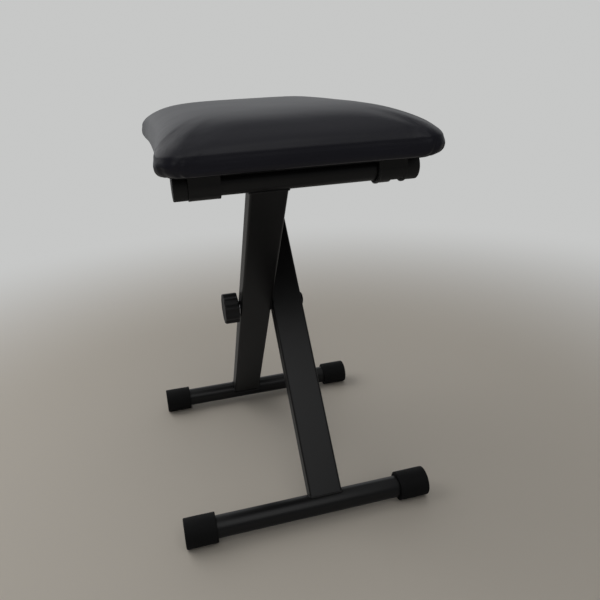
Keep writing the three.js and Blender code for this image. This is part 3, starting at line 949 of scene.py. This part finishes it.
# Rounds off the profile at one ring, along every column of points
def roundedAt(rings, row, shape):
    steps = np.linalg.norm(rings[1:] - rings[:-1], axis=2)
    none = np.zeros(rings.shape[1])
    places = np.vstack((none, np.cumsum(steps, axis=0)))
    width = np.vstack((steps, none)) + np.vstack((none, steps))
    result = rings.copy()
    for i in range(len(rings)):
        away = np.abs(places[i] - places[row])
        if away.min() > shape.ridgeReach:
            continue
        share = (np.clip(1 - away / shape.ridgeReach, 0, 1) ** 0.5)[:, None]
        weights = np.exp(-0.5 * ((places - places[i]) / shape.ridgeBlend) ** 2) * width
        mean = (rings * weights[:, :, None]).sum(axis=0) / weights.sum(axis=0)[:, None]
        result[i] = rings[i] * (1 - share) + mean * share
    return result


# Rings of the pad from recess to middle, with a level for each: 0 at the hem, 1 at the ridge
def padRings(shape, steps):
    rim, marks = padRim(shape, steps, shape.corner)
    board, _ = padRim(shape, steps, shape.boardCorner + shape.boardInset, False)
    evened = cornerAverages(rim, marks, shape)
    half = np.array((shape.halfWidth, shape.halfLength))
    floor, hem, widest, ridge = shape.floor, shape.hem, shape.widest, shape.ridge
    rings, levels = [], []

    def addRing(places, height, level):
        heights = np.broadcast_to(height, len(places))
        rings.append(np.column_stack((places[:, 0] + shape.middle, places[:, 1], heights)))
        levels.append(level)

    recess = board * (1 - shape.boardInset / half)
    turned = rim * (1 - shape.turnIn / half)
    addRing(recess, shape.boardTop, -4)
    addRing(recess, floor + shape.thickness, -3)
    addRing(turned, floor + shape.thickness, -2)
    addRing(turned, floor, -1)
    fromCorner = (marks[:, 1] - pi / 4 * shape.corner) / shape.corner
    gathered = np.exp(-(fromCorner**2))
    hemDepth, hemHeight = (hem + (corner - hem) * gathered for corner in shape.cornerHem)
    for step in range(steps.hem + 1):
        turn = quarterTurn * step / steps.hem
        margin = hemDepth * (1 - sin(turn))
        rise = 1 - cos(turn)
        addRing(rim * (1 - margin[:, None] / half), floor + hemHeight * rise, hem * rise / ridge)
    for step in range(1, steps.wall + 1):
        share = step / steps.wall
        rise = hemHeight + (widest - hemHeight) * share
        addRing(rim, floor + rise, (hem + (widest - hem) * share) / ridge)
    middleness = marks[:, 2]
    ridgeTop = ridge + shape.ridgeRise * (middleness - 0.5)
    for step in range(1, steps.lip + 1):
        share = step / steps.lip
        places = rim * (1 - shape.ridgeInset * share ** 2 / half)
        height = widest + (ridgeTop - widest) * share
        addRing(places, floor + height, widest / ridge * (1 - share) + share)
    ridgeRow = len(rings) - 1
    inset = rim * (1 - shape.ridgeInset / half)
    edge = np.abs(rim) / half
    toRim = 1 / edge.max(axis=1)
    for step in range(1, steps.crown):
        share = 1 - (step / steps.crown) ** shape.crownSpacing
        held = np.where(middleness > 0, toRim, 1 + (toRim - 1) * share ** shape.cornerHold)
        reach = np.minimum(edge * (share * held)[:, None], share)
        bulge = (1 - reach ** shape.squareness) ** shape.fullness
        base = ridgeTop + (ridge - ridgeTop) * (1 - share ** shape.crownEdge)
        crown = shape.crown * bulge[:, 0] * bulge[:, 1]
        addRing(inset * share, floor + base + evened @ crown, 2 - share)
    return roundedAt(np.array(rings), ridgeRow, shape), np.array(levels), marks


def meshArray(mesh, name="co"):
    values = np.empty(len(mesh.vertices) * 3)
    mesh.vertices.foreach_get(name, values)
    return values.reshape(-1, 3)


cloth = Settings(
    startInset=0.004,
    voxel=0.005,
    heldHeight=0.002,
    frames=20,
    solver={
        "quality": 6,
        "mass": 0.3,
        "tension_stiffness": 18,
        "compression_stiffness": 12,
        "shear_stiffness": 6,
        "bending_stiffness": 0.15,
        "use_pressure": True,
        "uniform_pressure_force": 4.0,
        "shrink_min": -0.004,
        "vertex_group_mass": "held",
    },
    largest=0.008,
    smoothing=26,
    keep=0.32,  # of the wrinkles, at the corners
    keepSwell=0.12,  # of the broad swelling
    wrinkleLimit=0.0007,
    flatKeep=0.10,  # share of the corners' wrinkles that the middle shows
    cornerReach=0.055,
    unevenness=((22, 0.00022), (75, 0.00006)),
    stillLevel=0.02,  # below it nothing moves
    fullLevel=0.3,
    neighbours=4,
    nearness=0.0008,
)


# Blows the cover up with Blender's Cloth and returns where it began and how far it moved outwards
def swollenCover(shape, cloth):
    inset = cloth.startInset
    halves = {key: shape[key] - inset / 2 for key in ("halfWidth", "halfLength")}
    small = Settings({**shape, **halves, "crown": shape.crown - inset})
    points, faces = closedRings(padRings(small, shape.coarseSteps)[0])
    cover = linked("coverStart", plainMesh("coverStart", points, faces))
    even = cover.modifiers.new("even", "REMESH")
    even.mode = "VOXEL"
    even.voxel_size = cloth.voxel
    cover.data = evaluatedMesh(cover)
    cover.modifiers.clear()
    start = meshArray(cover.data)
    held = cover.vertex_groups.new(name="held")
    pinned = np.nonzero(start[:, 2] < shape.floor + cloth.heldHeight)[0]
    held.add([int(i) for i in pinned], 1.0, "REPLACE")
    swell = cover.modifiers.new("swell", "CLOTH")
    for key, value in cloth.solver.items():
        setattr(swell.settings, key, value)
    swell.settings.effector_weights.gravity = 0
    swell.collision_settings.use_collision = False
    swell.point_cache.frame_end = cloth.frames
    for number in range(1, cloth.frames + 1):
        scene.frame_set(number)
    moved = meshArray(evaluatedMesh(cover)) - start
    scene.frame_set(1)
    outward = (moved * meshArray(cover.data, "normal")).sum(axis=1)
    ends = np.empty(len(cover.data.edges) * 2, int)
    cover.data.edges.foreach_get("vertices", ends)
    bpy.data.objects.remove(cover)
    return start, np.clip(outward, -cloth.largest, cloth.largest), ends.reshape(-1, 2)


# Splits the movement into broad swelling and wrinkles
def wrinkleField(start, outward, ends, cloth):
    broad = outward.copy()
    degree = np.bincount(ends.ravel(), minlength=len(start)).astype(float)
    for _ in range(cloth.smoothing):
        total = np.bincount(ends[:, 0], broad[ends[:, 1]], len(start))
        total += np.bincount(ends[:, 1], broad[ends[:, 0]], len(start))
        broad = 0.5 * broad + 0.5 * total / degree
    limit = cloth.wrinkleLimit
    wrinkles = np.clip((outward - broad) * cloth.keep, -limit, limit)
    fromMiddle = np.abs(start[:, :2] - np.array((pad.middle, 0)))
    fromSides = np.array((pad.halfWidth, pad.halfLength)) - fromMiddle
    corner = np.exp(-(np.hypot(fromSides[:, 0], fromSides[:, 1]) / cloth.cornerReach) ** 2)
    wrinkles *= cloth.flatKeep + (1 - cloth.flatKeep) * corner
    print("cover moved mm", (outward.min() * 1000).round(2), (outward.max() * 1000).round(2))
    return wrinkles + (broad - np.median(broad)) * cloth.keepSwell


pleats = Settings(
    # each: place past the arc's start, width, depth, lean along the rim, level where it ends
    folds=(
        (0.0025, 0.0019, 0.0007, 0.004, 1.0),
        (0.0160, 0.0024, 0.0005, -0.003, 0.85),
        (0.0320, 0.0019, 0.0008, 0.004, 1.0),
    ),
    # each fold's own change, from and to: place, width, end, depth
    chances=((-0.0015, 0.0015), (0.85, 1.3), (0.9, 1.1), (0.75, 1.2)),
    seed=11,
    levels=(-0.5, 1.4),
    leanLevel=0.4,  # where a leaning fold is at its place
    reach=(-0.03, 0.065),
    ear=0.0010,
    earLevel=0.55,
    earSpread=0.42,
    fadeOut=0.45,  # of the levels, at a fold's upper end
    fadeIn=(-0.45, 0.35),
    bulge=(0.42, 2.1, 1.1),  # beside a fold: height, place, width
)


# How far the pleats and ears at the corners move a point outwards
def pleatOffset(mark, level, shape, pushes):
    quarter, along = int(mark[0]), mark[1]
    inLevels = shape.levels[0] <= level <= shape.levels[1]
    if not (inLevels and shape.reach[0] <= along <= shape.reach[1]):
        return 0.0
    arc = quarterTurn * pad.corner
    earShare = exp(-((along - arc / 2) / (arc * shape.earSpread)) ** 2)
    total = shape.ear * earShare * exp(-((level - shape.earLevel) / shape.earSpread) ** 2)
    height, beside, spread = shape.bulge
    for fold, push in zip(shape.folds, pushes[quarter]):
        place, width, depth, lean, end = fold
        shift, widening, lengthening, deepening = push
        centre = place + lean * (level - shape.leanLevel) + shift
        offset = (along - centre) / (width * widening)
        fade = ramp(end * lengthening, level, shape.fadeOut) * ramp(level, *shape.fadeIn)
        groove = -exp(-offset ** 2) + height * exp(-((abs(offset) - beside) / spread) ** 2)
        total += depth * deepening * smooth(fade) * groove
    return total


def padOffsets(rings, levels, marks, covers):
    start, field = covers
    tree = KDTree(len(start))
    for i, point in enumerate(start):
        tree.insert(point, i)
    tree.balance()
    chance = random.Random(pleats.seed)
    pushes = [
        [[chance.uniform(*limits) for limits in pleats.chances] for _ in pleats.folds]
        for _ in quarters
    ]
    offsets = np.zeros(rings.shape[:2])
    broadness = cloth.unevenness
    for i, level in enumerate(levels):
        if level < cloth.stillLevel:
            continue
        rise = ramp(level, 0, cloth.fullLevel)
        for j, place in enumerate(rings[i]):
            near = tree.find_n(place, cloth.neighbours)
            weights = [1 / (distance + cloth.nearness) for _, _, distance in near]
            soft = sum(w * field[index] for w, (_, index, _) in zip(weights, near)) / sum(weights)
            broad = sum(depth * noise.noise(Vector(place) * scale) for scale, depth in broadness)
            bead = pad.bead * exp(-(((place[2] - pad.floor - pad.ridge) / pad.beadWidth) ** 2))
            pleat = pleatOffset(marks[j], level, pleats, pushes)
            offsets[i, j] = (soft + broad) * rise + bead + pleat
    return offsets


def addPad():
    rings, levels, marks = padRings(pad, pad.steps)
    start, outward, ends = swollenCover(pad, cloth)
    covers = (start, wrinkleField(start, outward, ends, cloth))
    offsets = padOffsets(rings, levels, marks, covers)
    mesh = plainMesh("seatPad", *closedRings(rings))
    mesh.update()
    moved = meshArray(mesh)
    moved[:offsets.size] += meshArray(mesh, "normal")[:offsets.size] * offsets.reshape(-1, 1)
    mesh.vertices.foreach_set("co", moved.ravel())
    mesh.update()
    seat = bpy.data.objects.new("seatPad", mesh)
    finishPiece(seat, "vinyl", "seat", ["seat_cover", "seat_foam"], 60)


addPad()
print("pad made")

# Screws under the seat: heads with a cross recess
screwShape = Settings(
    head=0.0035,
    shank=0.0018,
    headHeight=0.0018,
    length=0.0125,
    point=0.003,
    recess=0.0011,
    armWidth=0.00052,
    armReach=0.0019,
    armEase=(1.5, 0.35),  # of the width and of the reach
    flat=1.15,  # of the reach
    flatRings=9,
    sunkEdge=(0.0001, 0.0002),
    rim=0.0003,
    domeSteps=7,
    sides=40,
    seed=5,
)


# One screw pointing up, its head's outer face at the bottom
def screwMesh(shape, sunk):
    head, shank, height = shape.head, shape.shank, shape.headHeight
    faceLevel = 0 if sunk else -height
    rings = shape.flatRings
    radii = [shape.armReach * shape.flat * i / rings for i in range(rings + 1)]
    profile = [(faceLevel, radius) for radius in radii]
    if sunk:
        edge, bevel = shape.sunkEdge
        profile += [(0, head - bevel), (edge, head), (height, shank)]
    else:
        for step in range(1, shape.domeSteps + 1):
            turn = quarterTurn * step / shape.domeSteps
            out = radii[-1] + (head - radii[-1]) * sin(turn)
            profile.append((-height + (height - shape.rim) * (1 - cos(turn)), out))
        profile += [(0, head), (0, shank)]
    profile += [(shape.length - shape.point, shank), (shape.length, 0)]
    points, faces = turnedShape(profile, shape.sides)
    upright = []
    for along, y, z in points:
        if along == faceLevel:
            narrow, far = sorted((abs(y), abs(z)))
            wide, tip = shape.armEase
            across = ramp(shape.armWidth * wide, narrow, shape.armWidth)
            along += shape.recess * across * ramp(shape.armReach, far, shape.armReach * tip)
        upright.append((y, z, along))
    return plainMesh("screw", upright, faces)


# Sets a piece on every point of a mesh, each turned by its own angle about Z
def setTree():
    row = Growth("setPieces", piece="Object", turn="Float", seed="Int")
    most = row.node("ShaderNodeCombineXYZ", {}, {"Z": row.given.turn})
    chance = {"Max": most, "Seed": row.given.seed}
    turn = row.node("FunctionNodeRandomValue", {"data_type": "FLOAT_VECTOR"}, chance)
    return row.ended(row.setOn(row.given.Geometry, row.objectShape(row.given.piece), turn))


def addScrews(kind, count, sunk, shape, tree):
    nodes = [f"{kind}_screw_{side}_{i}" for side in ("left", "right") for i in range(1, count + 1)]
    places = []
    for node in nodes:
        low, high = (Vector(corner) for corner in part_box(node))
        level = low.z if sunk else low.z + shape.headHeight
        places.append(((low.x + high.x) / 2, (low.y + high.y) / 2, level))
    holder = linked("screwPlaces", plainMesh("screwPlaces", places, []))
    screw = linked("screw", screwMesh(shape, sunk))
    values = {"piece": screw, "turn": pi, "seed": shape.seed, "finish": finishes["screw_steel"]}
    piece = grownPiece(f"{kind}Screws", holder, tree, **values)
    bpy.data.objects.remove(screw)
    finishPiece(piece, "screw_steel", "seat", nodes)


setPieces = setTree()
addScrews("strap", 4, False, screwShape, setPieces)
addScrews("rail", 3, True, screwShape, setPieces)
print("screws made")

# Cloth stapled under the board, with a folded hem, sagging a little where it is free
underside = Settings(
    halfWidth=0.125,
    halfLength=0.202,
    corner=0.020,
    top=0.426607,
    thickness=0.0006,
    hemWidth=0.009,
    hemDrop=0.0003,
    hemStep=0.0003,  # across which the drop ends
    rounding=0.0002,
    sag=0.0011,
    sagEase=(0.03, 0.04),  # from the metal and from the hem
    sagChange=0.3,
    sagScale=15,
    pucker=0.00022,
    puckerEase=(0.004, 0.03),
    puckerScale=60,
    strapHalf=(0.016, 0.03),
    clearance=0.016,  # free of sag beside rails and straps
    steps=Settings(flats=(70, 110), corner=8),
    rings=26,
    ringSpacing=1.2,
)
stapleShape = Settings(
    length=0.0105,
    wire=0.00035,
    leg=0.0012,
    crown=0.94,  # of half the length
    sunk=0.3,  # of the wire, in the cloth
    spacing=0.031,
    inset=0.0052,
    steps=Settings(flats=(24, 36), corner=8),
)


def clothDrop(x, y, shape):
    fromMiddle, clearance = abs(x - bench.seatMiddle), shape.clearance
    rails = abs(fromMiddle - railShape.offset)
    beside, past = shape.strapHalf
    pastStraps = max(abs(y + bench.upperPlace) - past, 0)
    straps = min(hypot(max(abs(x - place) - beside, 0), pastStraps) for place in strapShape.places)
    free = ramp(min(rails, straps + clearance), clearance, shape.sagEase[0])
    edge = min(shape.halfWidth - fromMiddle, shape.halfLength - abs(y))
    free = smooth(free * ramp(edge, shape.hemWidth, shape.sagEase[1]))
    near = ramp(edge, shape.hemWidth, shape.puckerEase[0]) * exp(-edge / shape.puckerEase[1])
    fine, broad = shape.puckerScale, shape.sagScale
    creases = max(noise.noise(Vector((x * fine, y * fine, 3))), 0) * near
    uneven = 1 + shape.sagChange * noise.noise(Vector((x * broad, y * broad, 0)))
    return free * shape.sag * uneven - creases * shape.pucker


def addUnderside(shape):
    rim, _ = padRim(shape, shape.steps, shape.corner, False)
    half = np.array((shape.halfWidth, shape.halfLength))
    low, hem, rounding = shape.top - shape.thickness, shape.hemWidth, shape.rounding
    hemLow = low - shape.hemDrop
    shares = [(i / shape.rings) ** shape.ringSpacing for i in range(1, shape.rings)]
    inwards = [hem + (half[0] - hem) * share for share in shares]
    insets = [rounding, hem - shape.hemStep, hem, *inwards]

    def ring(inset, level, sags=True):
        places = rim * (1 - inset / half) + (bench.seatMiddle, 0)
        heights = [level - (clothDrop(x, y, shape) if sags else 0) for x, y in places]
        return np.column_stack((places, heights))

    under = [ring(inset, hemLow, False) for inset in insets[:2]]
    under += [ring(inset, low) for inset in insets[2:]]
    edge = [ring(0, hemLow + rounding, False), ring(0, shape.top - rounding, False)]
    above = [ring(inset, shape.top) for inset in insets]
    points, faces = closedRings(np.array(under[::-1] + edge + above))
    sheet = addPiece("dust_cloth", points, faces, 50)
    staples = addStaples(stapleShape, shape)


# A staple on every stretch of a closed path, in line with it
def stapleTree():
    row = Growth("stapleRow", spacing="Float", wire="Float", staple="Object")
    size = {"Resolution": 8, "Radius": row.given.wire}
    ring = row.node("CurvePrimitiveCircle", {}, size, "Curve")
    inputs = {"Curve": row.objectShape(row.given.staple), "Profile Curve": ring, "Fill Caps": True}
    wire = row.node("CurveToMesh", {}, inputs)
    axes = {"axis": "X", "pivot_axis": "Z"}
    turn = row.node("FunctionNodeAlignRotationToVector", axes, {"Vector": row.node("InputTangent")})
    return row.ended(row.setOn(row.evenly(), wire, turn))


def addStaples(staple, shape):
    low = shape.top - shape.thickness - shape.hemDrop + staple.wire * staple.sunk
    inset = staple.inset
    halves = {key: shape[key] - inset for key in ("halfWidth", "halfLength")}
    rim, _ = padRim(Settings({**shape, **halves}), staple.steps, shape.corner - inset, False)
    route = curveThrough([(x + bench.seatMiddle, y, low) for x, y in rim], True)
    reach = staple.length / 2
    bridge = [(reach * staple.crown, 0, -staple.wire), (reach, 0, 0), (reach, 0, staple.leg)]
    path = curveThrough([(-x, y, z) for x, y, z in bridge[::-1]] + bridge, False)
    values = {"spacing": staple.spacing, "wire": staple.wire, "staple": path}
    row = grownPiece("clothStaples", route, stapleTree(), **values, finish=finishes["zinc_steel"])
    bpy.data.objects.remove(path)
    return finishPiece(row, "zinc_steel", "seat", sharpAngle=50)


addUnderside(underside)
print("cloth made")

# Room: pale floor under soft panels overhead, in front and to the left at the back
room = Settings(
    floorSize=6.0,
    floorColor=(0.47, 0.45, 0.42),
    floorRoughness=0.6,
    floorSeen=(0.77, 0.705, 0.61),
    fade=(0.42, 1.35),
    background=(0.57, 0.575, 0.57),
    wall=0.32,
    wallSide=(0.2, 0.75),
    wallTop=(0.42, 0.58),
    upperWall=0.08,
    upperTop=(0.7, 0.9),
    fill=0.12,
    fillColor=(0.97, 0.985, 1.0),
    target=(0, 0, 0.3),
    # each: place, size, brightness
    panels={
        "overheadPanel": ((0, 0, 2.7), (2.6, 2.6), 0.32),
        "frontPanel": ((0, -1.75, 1.94), (1.8, 1.8), 0.66),
        "leftPanel": ((-1.50, 0.95, 1.75), (2.7, 1.7), 0.95),
    },
)


# Floor that fades into the background away from the bench, for the camera only
def addFloor(room):
    half = room.floorSize / 2
    mesh = plainMesh("floor", [(half * x, half * y, 0) for x, y in quarters], [(0, 1, 2, 3)])
    floor = linked("floor", mesh)
    paint = Finish("floorPaint", room.floorColor, room.floorRoughness)
    direct = paint.node("LightPath", output="Is Camera Ray")
    paint.dress({"Base Color": paint.blend(direct, room.floorColor, room.floorSeen)})
    distance = paint.node("VectorMath", {"operation": "LENGTH"}, [paint.place], "Value")
    far = paint.mask(distance, *room.fade)
    shown = paint.node("Emission", {}, {"Color": room.background})
    plain = Signal(paint, paint.shader.outputs[0])
    mixed = paint.node("MixShader", {}, [far * direct, plain, shown])
    paint.feed(paint.tree.nodes["Material Output"].inputs["Surface"], mixed)
    mesh.materials.append(paint.material)


# Area lamp of an even brightness, facing its target
def addPanel(name, place, target, size, brightness):
    lamp = bpy.data.lights.new(name, "AREA")
    lamp.shape = "RECTANGLE"
    lamp.size, lamp.size_y = size
    lamp.energy = brightness * pi * size[0] * size[1]
    panel = linked(name, lamp)
    panel.location = place
    panel.rotation_euler = (Vector(target) - Vector(place)).to_track_quat("-Z", "Y").to_euler()
    panel.visible_camera = False


# Surroundings: bright and low behind, like a wall near by, and dim elsewhere
def addWorld(room):
    world = bpy.data.worlds.new("room")
    scene.world = world
    world.use_nodes = True
    world.node_tree.nodes.clear()
    sky = Nodes(world.node_tree)
    ray = sky.node("TexCoord", output="Generated")
    height = sky.part(ray, "Z")
    back = sky.mask(sky.part(ray, "Y"), *room.wallSide)
    wall = 1 - sky.mask(height, *room.wallTop)
    upper = 1 - sky.mask(height, *room.upperTop)
    glow = back * (wall * room.wall + upper * room.upperWall)
    fill = sky.node("Background", {}, {"Color": room.fillColor, "Strength": glow + room.fill})
    shown = sky.node("Background", {}, {"Color": room.background})
    direct = sky.node("LightPath", output="Is Camera Ray")
    sky.node("OutputWorld", {}, {"Surface": sky.node("MixShader", {}, [direct, fill, shown])})


addFloor(room)
addWorld(room)
for name, (place, size, brightness) in room.panels.items():
    addPanel(name, place, room.target, size, brightness)
print("room made")
